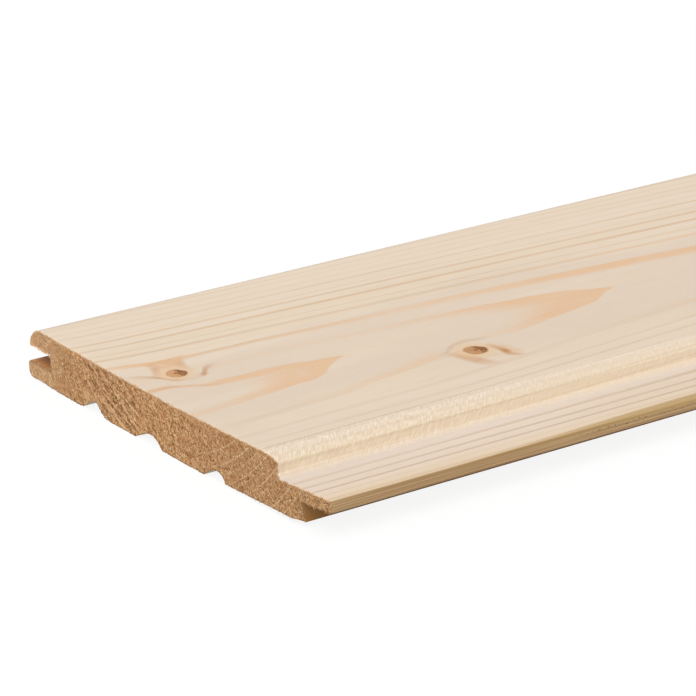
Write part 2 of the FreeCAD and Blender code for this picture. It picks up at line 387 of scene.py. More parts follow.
def long_surface():
    """The outline at every station: along + fade x the arris's depth, drawn into the wood by fade x
    the rim's own inset, so that it meets the sawn end's rim at the two end stations. The fade is
    (1 - distance / reach) squared, 1 at the sawn end and 0 from the fray's reach on."""
    along, across, height = stations[:, None], outline[:, 0], outline[:, 1]
    for end, inwards, points, depth in (
        (0.0, 1, near_points, near_depth), (BOARD_LENGTH, -1, far_points, far_depth)
    ):
        fade = np.clip(1 - np.abs(stations - end) / FRAY_REACH, 0, 1)[:, None] ** 2
        drawn_in = points[:rim_count] - outline
        along = along + inwards * fade * depth[:rim_count]
        across, height = across + fade * drawn_in[:, 0], height + fade * drawn_in[:, 1]
    return np.stack([along, across, height], axis=2)


def in_frame(along, across, height):
    """A place told along, across and up in mm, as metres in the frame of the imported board."""
    return np.stack([lowest.x + along * MM, highest.y - across * MM, lowest.z + height * MM], axis=-1)


long_points = long_surface()
near_inner, far_inner = near_points[rim_count:], far_points[rim_count:]
vertices = np.concatenate([
    in_frame(long_points[..., 0], long_points[..., 1], long_points[..., 2]).reshape(-1, 3),
    in_frame(near_depth[rim_count:], near_inner[:, 0], near_inner[:, 1]),
    in_frame(BOARD_LENGTH - far_depth[rim_count:], far_inner[:, 0], far_inner[:, 1]),
])
station, place = np.meshgrid(np.arange(len(stations) - 1), np.arange(rim_count), indexing="ij")
beside = (place + 1) % rim_count
quads = np.stack([
    station * rim_count + place,
    (station + 1) * rim_count + place,
    (station + 1) * rim_count + beside,
    station * rim_count + beside,
], axis=-1).reshape(-1, 4)
inner_start = len(stations) * rim_count
last_rim = (len(stations) - 1) * rim_count


def cap(faces, rim_start, inside_start):
    """A sawn end's triangles in the whole mesh's numbers: its rim's are those of the end station."""
    return np.where(faces < rim_count, faces + rim_start, faces - rim_count + inside_start)


near_cap = cap(near_faces, 0, inner_start)
far_cap = cap(far_faces, last_rim, inner_start + len(near_inner))[:, ::-1]

board_mesh = bpy.data.meshes.new("board_planed")
board_mesh.from_pydata(vertices.tolist(), [], quads.tolist() + near_cap.tolist() + far_cap.tolist())
finish = np.zeros(len(board_mesh.polygons), np.int32)
finish[len(quads):] = 1
board_mesh.polygons.foreach_set("material_index", finish)


def keep(mesh, name, values):
    """Stores one number per vertex on a mesh."""
    mesh.attributes.new(name, "FLOAT", "POINT").data.foreach_set("value", values.astype(np.float32))


for name, near_value, far_value in (("tear", near_tear, far_tear), ("inset", near_inset, far_inset)):
    values = np.concatenate([np.zeros(inner_start), near_value[rim_count:], far_value[rim_count:]])
    values[:rim_count] = near_value[:rim_count]
    values[last_rim:inner_start] = far_value[:rim_count]
    keep(board_mesh, name, values)
board_mesh.polygons.foreach_set("use_smooth", np.ones(len(board_mesh.polygons), bool))
board_mesh.set_sharp_from_angle(angle=np.radians(SHARP_FROM))
board = put_in("board_planed", board_mesh)
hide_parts("board")
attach(board, "root")

# The saw's fuzz: slivers of fibre that still hang on the sawn ends. Along the frayed arris they point
# out past it, pale and curled, and on the end grain they lie down the strokes of the teeth.
SLIVER_LOW, SLIVER_HIGH = 0.02, 12.90
NEAR_ARRIS_SLIVERS, NEAR_GRAIN_SLIVERS = 2500, 2600
FAR_ARRIS_SLIVERS, FAR_GRAIN_SLIVERS = 800, 900
SLIVER_THIN, SLIVER_THICK, SLIVER_BEND = 0.045, 0.095, 0.05
BEND_PLACE, BEND_THICK = 0.55, 0.62
sliver_luck = np.random.default_rng(5)


def arris_slivers(count, depth):
    """Roots and tips of the slivers at the arris, in mm along, across and up.

    Each starts behind the torn edge, just under the surface, and ends in front of it: the tip is the
    root less a draw along the board, plus small draws out of the wood and along the edge.
    """
    share = 0.03 + smooth(outline[:, 1], 7.0, 8.3) * smooth(outline[:, 0], 2.0, 6.0)
    spot = sliver_luck.choice(rim_count, count, p=share / share.sum())
    torn = depth[spot]
    under = outline[spot] + into_wood[spot] * (FRAY_INWARD * torn + 0.04)[:, None]
    root = np.column_stack([torn + sliver_luck.uniform(0.05, 0.45, count), under])
    out, aside = sliver_luck.uniform(0.0, 0.50, count), sliver_luck.normal(0, 0.24, count)
    beyond = -into_wood[spot] * (out + 0.05)[:, None] + heading[spot] * aside[:, None]
    tip = root + np.column_stack([-sliver_luck.uniform(0.25, 1.1, count), beyond])
    return root, tip


def grain_slivers(count, points, depth, tear):
    """Roots and tips of the slivers on the end grain, in mm along, across and up.

    Each starts in the torn surface, more often on its ridges, and runs down the strokes' slant.
    """
    share = (1.25 - tear[rim_count:]) ** 2
    spot = rim_count + sliver_luck.choice(len(points) - rim_count, count, p=share / share.sum())
    root = np.column_stack([depth[spot] + 0.05, points[spot]])
    slant = np.radians(SAW_SLANT) + sliver_luck.normal(0, 0.45, count)
    length = sliver_luck.uniform(0.25, 0.85, count) * sliver_luck.choice([-1, 1], count)
    rise = sliver_luck.uniform(0.12, 0.36, count)
    return root, root + np.column_stack([-rise, length * np.cos(slant), -length * np.sin(slant)])


def slivers_at(along, inwards, root, tip):
    """Both ends of the slivers in the frame, held between the sawn plane and the board's own box."""
    for places in (root, tip):
        places[:, 0] = along + inwards * np.clip(places[:, 0], SLIVER_LOW, None)
        places[:, 1] = np.clip(places[:, 1], SLIVER_LOW, OVERALL_WIDTH - SLIVER_LOW)
        places[:, 2] = np.clip(places[:, 2], SLIVER_LOW, SLIVER_HIGH)
    return in_frame(*root.T), in_frame(*tip.T)


sliver_ends = [
    slivers_at(0.0, 1, *arris_slivers(NEAR_ARRIS_SLIVERS, near_depth)),
    slivers_at(0.0, 1, *grain_slivers(NEAR_GRAIN_SLIVERS, near_points, near_depth, near_tear)),
    slivers_at(BOARD_LENGTH, -1, *arris_slivers(FAR_ARRIS_SLIVERS, far_depth)),
    slivers_at(BOARD_LENGTH, -1, *grain_slivers(FAR_GRAIN_SLIVERS, far_points, far_depth, far_tear)),
]
root, tip = (np.concatenate(ends) for ends in zip(*sliver_ends))


def sliver_points(root, tip, thick, bend):
    """Seven points of each sliver: three round its root, three round its bend and its tip.

    The three round the bend stand part of the way to the tip, moved aside, and closer than the root's.
    """
    axis = tip - root
    axis /= np.linalg.norm(axis, axis=1)[:, None]
    aside = np.cross(axis, [0.31, 0.52, 0.80])
    aside /= np.linalg.norm(aside, axis=1)[:, None]
    over = np.cross(axis, aside)
    turn = np.radians([0, 120, 240])[None, :, None]
    corner = thick[:, None, None] * (np.cos(turn) * aside[:, None] + np.sin(turn) * over[:, None])
    knee = root + BEND_PLACE * (tip - root) + bend[:, None] * over
    knees = knee[:, None] + BEND_THICK * corner
    return np.concatenate([root[:, None] + corner, knees, tip[:, None]], axis=1)


sliver_count = len(root)
thick = sliver_luck.uniform(SLIVER_THIN, SLIVER_THICK, sliver_count) * MM
bend = sliver_luck.normal(0, SLIVER_BEND, sliver_count) * MM
sliver_faces = ((0, 2, 1), (0, 1, 4, 3), (1, 2, 5, 4), (2, 0, 3, 5), (3, 4, 6), (4, 5, 6), (5, 3, 6))
joined_faces = [
    face for shape in sliver_faces
    for face in (np.arange(sliver_count)[:, None] * 7 + np.array(shape)).tolist()
]
held_in = np.clip(sliver_points(root, tip, thick, bend).reshape(-1, 3), lowest, highest)
fuzz_mesh = bpy.data.meshes.new("saw_fibres")
fuzz_mesh.from_pydata(held_in.tolist(), [], joined_faces)
keep(fuzz_mesh, "shade", np.repeat(sliver_luck.uniform(0, 1, sliver_count), 7))
fuzz = put_in("saw_fibres", fuzz_mesh)
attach(fuzz, "root")

# Two knots show near the end, and one comes about every 230 mm further on. Each is the foot of a small
# branch. Round it the rings are drawn towards the heart, in a finger that opens outwards.
FIRST_KNOT_ALONG, FIRST_KNOT_ACROSS, FIRST_KNOT_SIZE = 12.2, 45.0, 2.35
SECOND_KNOT_ALONG, SECOND_KNOT_ACROSS, SECOND_KNOT_SIZE = 76.0, 73.6, 2.65
KNOT_SPACING, KNOTS_START, KNOTS_END = 230.0, 250.0, 1860.0
KNOT_LEAN, KNOT_TRAIL = 0.38, 0.25
KNOT_LEVEL = 12.15
# The later knots, as (least, range): share of the spacing, place across and size
LATER_PLACE, LATER_ACROSS, LATER_SIZE = (0.30, 0.4), (14.0, 72.0), (1.8, 1.8)
NARROW_PULL, NARROW_SHIFT, NARROW_RUN = 1.55, 1.5, 6.0
OPEN_PULL, OPEN_SHIFT = 5.2, 0.4
# The rings sway slowly on the long run and ripple a little everywhere: (run, width, mm)
SWAY, RIPPLE = (160.0, 45.0, 0.9), (11.0, 3.5, 0.05)
# What the middle of a flame is drawn in by, as (distance from the heart's line, mm)
POINTS_OF_FLAMES = (
    (-12, 0.10), (-9.3, 0.12), (-7.5, 0.12), (-6, 0.08), (-4.6, 0.10), (-3.5, 0.14), (-2.6, 0.16),
    (-1.5, 0.13), (-0.7, 0.06), (0, 0.04), (1.5, 0.15), (3, 0.155), (4.6, 0.09), (6.2, 0.04), (7.7, 0.02),
    (12, 0)
)


class Reading:
    """A number at every spot of a surface: a node's output. Readings combine into Math nodes."""

    def __init__(self, tree, socket):
        self.tree, self.socket = tree, socket

    def math(self, operation, *others):
        made = self.tree.nodes.new("ShaderNodeMath")
        made.operation = operation
        for place, value in enumerate((self, *others)):
            plug(value, made.inputs[place])
        return Reading(self.tree, made.outputs[0])

    def __add__(self, other):
        return self.math("ADD", other)

    def __sub__(self, other):
        return self.math("SUBTRACT", other)

    def __mul__(self, other):
        return self.math("MULTIPLY", other)

    def __truediv__(self, other):
        return self.math("DIVIDE", other)

    def __rsub__(self, other):
        return self.math("MULTIPLY", -1.0).math("ADD", other)

    __radd__, __rmul__ = __add__, __mul__

    def size(self):
        """The number without its sign."""
        return self.math("ABSOLUTE")

    def step(self, low, high):
        """0 under low, 1 over high, smooth between. With low over high it falls instead."""
        made = self.tree.nodes.new("ShaderNodeMapRange")
        made.interpolation_type = "SMOOTHSTEP"
        plug(self, made.inputs["Value"])
        falling = not isinstance(low, Reading) and not isinstance(high, Reading) and low > high
        ends = (high, low, 1.0, 0.0) if falling else (low, high, 0.0, 1.0)
        for name, value in zip(("From Min", "From Max", "To Min", "To Max"), ends):
            plug(value, made.inputs[name])
        return Reading(self.tree, made.outputs["Result"])


def plug(value, entry):
    """Links a reading to a node's input, or sets a plain number or colour there."""
    if isinstance(value, Reading):
        value.tree.links.new(value.socket, entry)
    elif isinstance(value, tuple) and len(value) == 3 and entry.type == "RGBA":
        entry.default_value = (*value, 1.0)
    else:
        entry.default_value = value


def noise(x, y, z, detail=2.0, roughness=0.5):
    """Noise from about -0.5 to 0.5. The scale of the three readings that place it sets its grain."""
    tree = x.tree
    place = tree.nodes.new("ShaderNodeCombineXYZ")
    for value, entry in zip((x, y, z), place.inputs):
        plug(value, entry)
    made = tree.nodes.new("ShaderNodeTexNoise")
    tree.links.new(place.outputs[0], made.inputs["Vector"])
    for name, value in (("Scale", 1.0), ("Detail", detail), ("Roughness", roughness)):
        made.inputs[name].default_value = value
    return Reading(tree, made.outputs["Fac"]) * 2.0 - 1.0


def chance(value):
    """A random number from 0 to 1 that is the same wherever the value is."""
    made = value.tree.nodes.new("ShaderNodeTexWhiteNoise")
    made.noise_dimensions = "1D"
    plug(value, made.inputs["W"])
    return Reading(value.tree, made.outputs["Value"])


def curve(value, points, handles="VECTOR"):
    """The height of a line through the points (place, height), read at value and level beyond them."""
    made = value.tree.nodes.new("ShaderNodeFloatCurve")
    made.mapping.use_clip = False
    made.mapping.extend = "HORIZONTAL"
    line = made.mapping.curves[0]
    places, heights = zip(*points)
    left, width = min(places), max(places) - min(places)
    bottom, rise = min(heights), max(heights) - min(heights)
    for spare in points[2:]:
        line.points.new(0.5, 0.5)
    for knee, (place, height) in zip(line.points, points):
        knee.location = ((place - left) / width, (height - bottom) / rise)
        knee.handle_type = handles
    made.mapping.update()
    plug((value - left) / width, made.inputs["Value"])
    return Reading(value.tree, made.outputs[0]) * rise + bottom


def soft(value, points):
    """A curve that bends smoothly through its points and never swings past them."""
    return curve(value, points, "AUTO_CLAMPED")


def hill(u, along, w, outward):
    """A soft curve along the board times a soft curve outwards."""
    return soft(u, along) * soft(w, outward)


def first_finger(u, w):
    """How far the first knot draws the rings in, in mm: a narrow bulge that covers the knot, a trail
    along the board, a short one nearer the heart and the flame's rounded nose, which it leaves further
    out. Each is one curve along (u) times one outwards (w), and the bulge's first is e ^ -t^2."""
    t = (u - NARROW_SHIFT) / NARROW_RUN
    bulge = NARROW_PULL * (t * t * -1.0).math("EXPONENT")
    bulge = bulge * soft(w, ((-9, 0), (-5, 1), (0, 1), (4.5, 0.45), (8, 0.2), (10, 0)))
    trail = hill(
        u, ((-12, 0.55), (-8, 0.75), (0, 0.85), (12, 0.82), (29, 0.5), (48, 0.4), (68, 0.17), (88, 0)),
        w, ((-7, 0), (-5, 0.6), (-2, 1), (1, 1), (5, 0.92), (8, 0.8), (12, 0.08), (14, 0)),
    )
    inner_along = (
        (-12, 0.06), (-8, -0.14), (-5, -0.30), (-3.5, -0.22), (-1, 0.15), (1.8, 0.62), (4, 0.56), (6, 0.54),
        (9, 0.48), (12, 0.41), (15, 0.32), (18, 0.23), (24, 0.11), (32, 0.06), (38, 0)
    )
    inner = hill(u, inner_along, w, ((-16, 0), (-13, 0.4), (-11, 1), (-6.5, 1), (-4, 0.3), (-2, 0)))
    nose = hill(
        u, ((18, 0), (21, -0.08), (24, -0.27), (27, -0.28), (29, -0.19), (31, -0.1), (35, 0)),
        w, ((-24, 0), (-22, 0.8), (-20, 1), (-16.5, 1), (-15, 0.5), (-13, 0)),
    )
    return bulge + trail + inner + nose


def open_finger(u, w):
    """How far a knot with an open finger draws the rings in, in mm. Towards the heart it is a round
    bulge, and outwards it is even over the knot, steep at the finger's two sides and fades slowly."""
    bell = ((0, 1), (2, 0.95), (4, 0.78), (6, 0.53), (8, 0.31), (11, 0.1), (14, 0))
    steep = ((0, 1), (3, 0.97), (4, 0.85), (4.7, 0.66), (5.3, 0.44), (6.5, 0.1), (8, 0))
    out = (
        (-9, 0), (-7.5, 0.06), (-5.9, 0.18), (-4.5, 0.32), (-2, 0.8), (0, 1), (1.5, 1), (4, 0.65),
        (6.5, 0.35), (8, 0.15), (10, 0)
    )
    beside = (u - OPEN_SHIFT).size()
    outward = w.step(-4.0, -0.5)
    side = soft(beside, bell) * (1.0 - outward) + soft(beside, steep) * outward
    return OPEN_PULL * side * soft(w, out)


def second_tail(u, w):
    """The second knot's broad bulge, which lifts the ring beside it along 50 mm of the board."""
    along = ((-42, 0), (-22, 1), (-12, 0.9), (-8, 0.6), (0, 0.45), (9.7, 0.4), (16, 0.05), (26, 0))
    return hill(u, along, w, ((-14, 0), (-8, 0.6), (-3, 1), (1, 1), (6, 0)))


def stroke(place, beside, line, strength, half_width):
    """A stroke of wood that the branch pressed dark. It follows the line, which gives beside for each
    place, is as strong as the second curve says and fades out at half its width to both sides."""
    away = (beside - soft(place, line)).size()
    return away.step(half_width, 0.2 * half_width) * soft(place, strength)


def first_strokes(u, w):
    """Brown arcs round the first knot, the edges of its finger and the orange fill between those. The
    limb is the flame's upper edge, which the knot pushed aside."""
    arc = (
        (-11, 3.9), (-8.5, 2.9), (-6.2, 1.4), (-4.2, -0.9), (-3.2, -2.6), (-1.7, -3.7), (1.8, -4.2),
        (5, -3.8)
    )
    arc_shows = (
        (-12, 0), (-9, 0.28), (-6, 0.48), (-4, 0.85), (-2.5, 0.7), (0, 0.2), (3, 0.12), (5, 0.25), (6.5, 0)
    )
    curl = ((4, -4.5), (5.1, -3.7), (6.2, -2.3), (7.2, -1.2), (8.4, -0.4), (12, 0.2))
    curl_shows = ((3.5, 0), (5, 0.45), (6.5, 0.62), (7.5, 0.5), (9, 0.3), (12, 0))
    brown = stroke(u, w, arc, arc_shows, 1.5) + stroke(u, w, curl, curl_shows, 1.45)
    left, right = ((1.5, -3.8), (4, -2.8), (6, -2.1), (8, -2.3)), ((0, 3.6), (2, 3.5), (4, 4), (6, 5))
    tan = stroke(w, u, left, ((0, 0), (2, 0.75), (4, 0.8), (8.5, 0)), 1.9)
    tan = tan + stroke(w, u, right, ((-1, 0), (1.5, 0.4), (3, 0.6), (7, 0)), 1.9)
    reach = curve(w, ((3, 2), (6, 3.4), (9, 6)))
    filled = (reach - (u - 1.8).size()).step(-1.2, 0.8) * w.step(2.2, 4.8) * w.step(9.6, 8.3)
    limb = (
        (-12, -6), (-7.2, -6.1), (-4.2, -7.1), (-2.2, -8.2), (-0.2, -9.2), (1.8, -10.2), (3.8, -10.9),
        (6, -11)
    )
    limb_orange = stroke(u, w, limb, ((-13, 1), (-7, 1), (-3, 0.6), (1, 0.3), (6, 0)), 1.5)
    limb_tan = stroke(u, w, limb, ((-11, 0.2), (-6, 0.35), (0, 0.4), (4, 0.2), (7, 0)), 1.1)
    return brown, tan + limb_tan, filled + limb_orange


def open_strokes(u, w):
    """Strokes of a knot with an open finger: the arc over it, the curl beyond with orange beside it and
    the near smear."""
    arc = ((-9, -2.1), (-6, -3), (-4, -4.5), (-2, -5.7), (0, -6.2), (2, -6.4), (4, -6), (6, -5.5), (9, -5.4))
    arc_shows = ((-10, 0), (-7, 0.2), (-4, 0.34), (0, 0.3), (3, 0.28), (6, 0.22), (9, 0))
    curl = ((-1.5, 4.4), (0, 4.6), (2.5, 5.1), (4.5, 5.2), (6.5, 5), (8, 5.8), (9.2, 7.8), (9.7, 10))
    curl_shows = ((-2.5, 0), (0, 0.6), (2.5, 0.9), (4.5, 1), (6.5, 0.8), (8, 0.5), (9.7, 0))
    brown = stroke(u, w, arc, arc_shows, 1.4) + stroke(w, u, curl, curl_shows, 1.55)
    smear = ((-1, -5.4), (1, -4.8), (3, -4.2), (5.5, -3.8), (8, -3.2), (10, -2))
    tan = stroke(w, u, smear, ((-2.5, 0), (0, 0.8), (3, 1), (6, 0.85), (9, 0.45), (11, 0)), 3.0)
    beside = ((-1.5, 5.6), (4.5, 6.6), (8, 7))
    orange = stroke(w, u, beside, ((-3, 0), (0, 0.35), (4, 0.75), (7, 0.5), (9, 0)), 2.6)
    return brown, tan, orange


class Spruce:
    """What the wood is like at every spot of a surface, as readings.

    along, across and height are in mm, sideways and radius are told from the heart, side is 0 towards
    the groove and 1 towards the tongue, ring is the ring's number, knot is the distance to the nearest
    knot over its size, and beyond is how far along from it, over its size too. brown, tan and orange
    are how strongly the knots' strokes show.
    """

    def __init__(self, tree):
        made = tree.nodes.new("ShaderNodeTexCoord")
        parts = tree.nodes.new("ShaderNodeSeparateXYZ")
        tree.links.new(made.outputs["Object"], parts.inputs[0])
        x, y, z = (Reading(tree, socket) for socket in parts.outputs)
        self.along = (x - lowest.x) / MM
        self.across = (highest.y - y) / MM
        self.height = (z - lowest.z) / MM
        near = self.along.math("MINIMUM", STRAIGHT_RUN)
        far = (self.along - STRAIGHT_RUN).math("MAXIMUM", 0.0)
        self.far = far.step(0.0, 120.0)
        heart_across = near * HEART_DRIFT + (far / SIDE_RUN).math("SINE") * SIDE_SWING + HEART_ACROSS
        heart_height = near * HEART_RISE + (far / RISE_RUN).math("SINE") * RISE_SWING + HEART_HEIGHT
        self.sideways = self.across - heart_across
        upward = heart_height - self.height
        radius = (self.sideways * self.sideways + upward * upward).math("SQRT")
        self.tilt = self.sideways.size() / radius
        radius = radius + soft(self.sideways, POINTS_OF_FLAMES) + self.waves(SWAY, 1.0) * self.far
        self.radius = radius + self.waves(RIPPLE, 2.0) + self.knots(heart_across)
        self.side = self.sideways.step(*SIDES_MEET)
        fade = (self.along / -GROOVE_SHIFT_RUN).math("EXPONENT")
        groove = self.radius - curve(self.radius, GROOVE_SHIFT) * fade
        tongue = self.radius - curve(self.radius, END_SHIFT) * self.along.step(*END_SHIFT_RUN[::-1])
        tongue = tongue - curve(self.radius, OUTER_SHIFT) * curve(self.along, OUTER_SHIFT_ALONG)
        tongue = tongue - near * self.across.step(*LEDGE_SHIFT_FROM) * LEDGE_SHIFT
        groove_ring = self.count(groove, GROOVE_SIDE_RINGS)
        tongue_ring = self.count(tongue, TONGUE_SIDE_RINGS)
        self.ring = groove_ring * (1.0 - self.side) + tongue_ring * self.side

    def waves(self, wave, detail):
        """How far the rings wander, in mm, from a wave's run, width and amount."""
        run, width, amount = wave
        return amount * noise(self.along / run, self.across / width, self.height / width, detail)

    def count(self, distance, rings):
        """The ring's number at a distance from the heart, going on evenly past the last one listed."""
        beyond = (distance - rings[-1]).math("MAXIMUM", 0.0) / OUTER_RING_WIDTH
        return curve(distance, [(end, number) for number, end in enumerate(rings)]) + beyond

    def from_knot(self, place, place_across, outward):
        """How far along (u) and outwards (w) a spot is from a knot at a place.

        A branch leans along the board and away from the heart, so its place shifts with the depth.
        """
        depth = KNOT_LEVEL - self.height
        u = self.along - place - depth * KNOT_TRAIL
        return u, (self.across - place_across) * outward - depth * KNOT_LEAN

    def knots(self, heart_across):
        """How far all knots draw the rings in. Sets the nearness of the nearest one on the way."""
        u, w = self.from_knot(FIRST_KNOT_ALONG, FIRST_KNOT_ACROSS, -1.0)
        self.knot, self.beyond = (u * u + w * w).math("SQRT") / FIRST_KNOT_SIZE, u / FIRST_KNOT_SIZE
        self.brown, self.tan, self.orange = first_strokes(u, w)
        pull = first_finger(u, w)
        pull = pull + self.open_knot(SECOND_KNOT_ALONG, SECOND_KNOT_ACROSS, SECOND_KNOT_SIZE, 1.0, 1.0)
        pull = pull + second_tail(*self.from_knot(SECOND_KNOT_ALONG, SECOND_KNOT_ACROSS, 1.0))
        cell = ((self.along - KNOTS_START) / KNOT_SPACING).math("FLOOR")
        luck, luck_across = chance(cell * 3.7 + 1.3), chance(cell * 5.1 + 40.7)
        place = KNOTS_START + (cell + LATER_PLACE[0] + LATER_PLACE[1] * luck) * KNOT_SPACING
        place_across = LATER_ACROSS[0] + LATER_ACROSS[1] * luck_across
        outward = (place_across - heart_across).math("SIGN")
        size = LATER_SIZE[0] + LATER_SIZE[1] * luck
        there = self.along.step(KNOTS_START, KNOTS_START + 1.0) * self.along.step(KNOTS_END + 1.0, KNOTS_END)
        return pull + self.open_knot(place, place_across, size, outward, there)

    def open_knot(self, place, place_across, size, outward, there):
        """Adds a knot with an open finger where there is 1: its strokes and its nearness.

        Returns how far it draws the rings in.
        """
        u, w = self.from_knot(place, place_across, outward)
        distance = (u * u + w * w).math("SQRT") / size + (1.0 - there) * 50.0
        closer = distance.math("LESS_THAN", self.knot)
        self.knot = self.knot.math("MINIMUM", distance)
        self.beyond = self.beyond * (1.0 - closer) + u / size * closer
        scale = size / SECOND_KNOT_SIZE
        brown, tan, orange = open_strokes(u / scale, w / scale)
        self.brown = self.brown + brown * there
        self.tan, self.orange = self.tan + tan * there, self.orange + orange * there
        return open_finger(u / scale, w / scale) * scale * there


# The planed faces: sharp knives left the long grain smooth. Early wood is pale cream, and late wood
# comes up towards the outside of each ring, orange where the face cuts it flat and browner in lines.
# How strongly each ring shows, near the end and from 100 mm on, by the ring's number:
GROOVE_TONES_NEAR = (0.4, 0.5, 0.7, 0.0, 0.0, 0.0, 0.62, 0.38, 0.65, 0.60, 0.35, 0.36, 0.32, 0.22, 0.40, 0.3)
GROOVE_TONES_FAR = (0.4, 0.5, 0.7, 0.0, 0.0, 0.0, 0.57, 0.50, 0.75, 0.62, 0.40, 0.50, 0.25, 0.22, 0.30, 0.25)
TONGUE_TONES_NEAR = (0.4, 0.5, 0.7, 0.0, 0.0, 0.0, 0.27, 0.62, 0.0, 0.50, 0.7, 0.62, 0.68, 0.75, 1.0, 0.3)
TONGUE_TONES_FAR = (0.4, 0.5, 0.7, 0.0, 0.0, 0.0, 0.27, 0.42, 0.22, 0.50, 0.7, 0.62, 0.60, 0.72, 0.95, 0.3)
# Where late wood begins in each ring, as a share of its width
GROOVE_LATE_FROM_NEAR = (
    0.72, 0.72, 0.70, 0.62, 0.64, 0.68, 0.68, 0.76, 0.68, 0.70, 0.78, 0.72, 0.74, 0.74, 0.7, 0.7
)
GROOVE_LATE_FROM_FAR = (
    0.72, 0.72, 0.70, 0.62, 0.50, 0.45, 0.66, 0.76, 0.64, 0.68, 0.78, 0.72, 0.74, 0.74, 0.7, 0.7
)
TONGUE_LATE_FROM = (
    0.72, 0.72, 0.70, 0.62, 0.53, 0.72, 0.74, 0.70, 0.76, 0.72, 0.76, 0.74, 0.70, 0.66, 0.70, 0.70
)
TONES_CHANGE = (20.0, 100.0)
# The rings that make flames on the face fade in along the board: (ring, groove's side, tongue's side)
FLAME_TONES = (
    (3, ((10, 0), (19, 1)), ((0, 0.45), (12, 0.45), (20, 0.6), (28, 1))),
    (
        4,
        ((0, 0.22), (50, 0.2), (60, 0.25), (70, 0.35), (80, 0.45), (92, 0.75), (104, 1)),
        (
            (0, 0.2), (40, 0.25), (58, 0.5), (65, 0.5), (69, 0.04), (83, 0.04), (88, 0.3), (92, 0.45),
            (98, 0.7), (106, 1)
        ),
    ),
    (
        5,
        ((0, 0.72), (20, 0.95), (30, 0.75), (60, 0.55), (80, 0.4), (100, 0.7), (125, 0.95)),
        ((0, 0.22), (130, 0.26)),
    ),
)
EARLY_PALE, EARLY_WARM, EARLY_COOL = (0.815, 0.687, 0.548), (0.800, 0.655, 0.485), (0.765, 0.635, 0.505)
FLAME, LINE, COOL_LINE = (0.800, 0.545, 0.345), (0.690, 0.485, 0.315), (0.645, 0.500, 0.360)
FIBRE_SHADE, FIBRE_DASH = (0.50, 0.36, 0.25), (0.55, 0.33, 0.17)
PRESSED, SMEARED = (0.54, 0.27, 0.11), (0.67, 0.415, 0.25)
FILLED, HALO = (0.765, 0.485, 0.280), (0.79, 0.555, 0.345)
KNOT_TAN, KNOT_RIM = (0.70, 0.38, 0.187), (0.44, 0.205, 0.078)
KNOT_DARK, KNOT_BLACK = (0.31, 0.115, 0.028), (0.15, 0.048, 0.012)
# How the colour changes at the fall and down its wall, where fine fibres stand, and over the ledge
# This is mostly painted light and shade, with some tint: lighter at the fall's top and on the wall, darker
# over the fall and in the cove, and browner at the tongue's rounded arris, partly as painted shade
FALL_PAINTED_LIGHT_AND_TINT = (
    (96.2, (1.0, 1.0, 1.0)), (97.1, (1.05, 1.055, 1.11)), (98.3, (0.99, 0.99, 1.03)),
    (99.45, (0.925, 0.914, 0.917)), (100.0, (0.945, 0.926, 0.932)), (101.7, (0.905, 0.900, 0.880)),
    (101.79, (1.03, 1.04, 1.045)), (101.95, (0.90, 0.915, 0.96)), (102.3, (0.82, 0.838, 0.89)),
    (103.2, (0.89, 0.925, 0.96)), (104.6, (0.945, 0.965, 1.01)), (108.0, (1.02, 1.01, 0.985)),
    (112.0, (1.015, 1.0, 0.985)), (115.4, (1.04, 1.02, 1.0)), (117.2, (1.04, 1.02, 0.965)),
    (118.2, (1.04, 1.0, 0.91)), (119.6, (1.01, 0.95, 0.81)), (120.6, (0.98, 0.90, 0.73)),
)
FUR, FUR_LIGHT, FUR_DARK = (0.835, 0.680, 0.480), (0.96, 0.86, 0.72), (0.67, 0.50, 0.32)
LEDGE_TINT, YELLOWED = (0.985, 0.99, 1.045), (0.975, 0.965, 0.93)
# The tongue's arris and edge, browner wood partly darkened with painted shade, then the painted shade on the
# shoulder and in the groove
ARRIS, EDGE_BROWN_SHADED, EDGE_TAN_SHADED = (0.50, 0.325, 0.135), (0.375, 0.22, 0.098), (0.56, 0.38, 0.20)
EDGE_OLIVE, EDGE_SHADOW_LINE = (0.475, 0.31, 0.12), (0.27, 0.155, 0.06)
EDGE_FOOT, EDGE_TORN = (0.30, 0.145, 0.055), (0.12, 0.055, 0.02)
SHADE_BROWN, SHADE_BROWN_PALE, SHOULDER_SHADE = (0.46, 0.20, 0.062), (0.60, 0.285, 0.097), (0.72, 0.75, 0.62)


def blend(share, first, second, way="MIX"):
    """The first colour where share is 0 and the second where it is 1. One of them is a reading."""
    tree = next(value.tree for value in (share, first, second) if isinstance(value, Reading))
    made = tree.nodes.new("ShaderNodeMix")
    made.data_type, made.blend_type = "RGBA", way
    for value, number in ((share, 0), (first, 6), (second, 7)):
        plug(value, made.inputs[number])
    return Reading(tree, made.outputs[2])


def ramp(value, stops):
    """A colour that changes evenly from stop to stop (place, colour) and is level beyond them."""
    made = value.tree.nodes.new("ShaderNodeValToRGB")
    left, width = stops[0][0], stops[-1][0] - stops[0][0]
    for spare in stops[2:]:
        made.color_ramp.elements.new(1.0)
    for stop, (place, colour) in zip(made.color_ramp.elements, stops):
        stop.position = (place - left) / width
        stop.color = (*colour, 1.0)
    plug((value - left) / width, made.inputs[0])
    return Reading(value.tree, made.outputs[0])


def bump(height, distance):
    """Bends the light on a surface as if it stood height times distance (in metres) proud."""
    made = height.tree.nodes.new("ShaderNodeBump")
    made.inputs["Distance"].default_value = distance
    plug(height, made.inputs["Height"])
    return Reading(height.tree, made.outputs[0])


def new_wood(name, shine):
    """A material and its surface shader, wired to its output, with this much of a plain shine."""
    material = bpy.data.materials.new(name)
    material.use_nodes = True
    nodes = material.node_tree.nodes
    nodes.clear()
    shader = nodes.new("ShaderNodeBsdfPrincipled")
    shader.inputs["Specular IOR Level"].default_value = shine
    material.node_tree.links.new(shader.outputs[0], nodes.new("ShaderNodeOutputMaterial").inputs[0])
    return material, shader


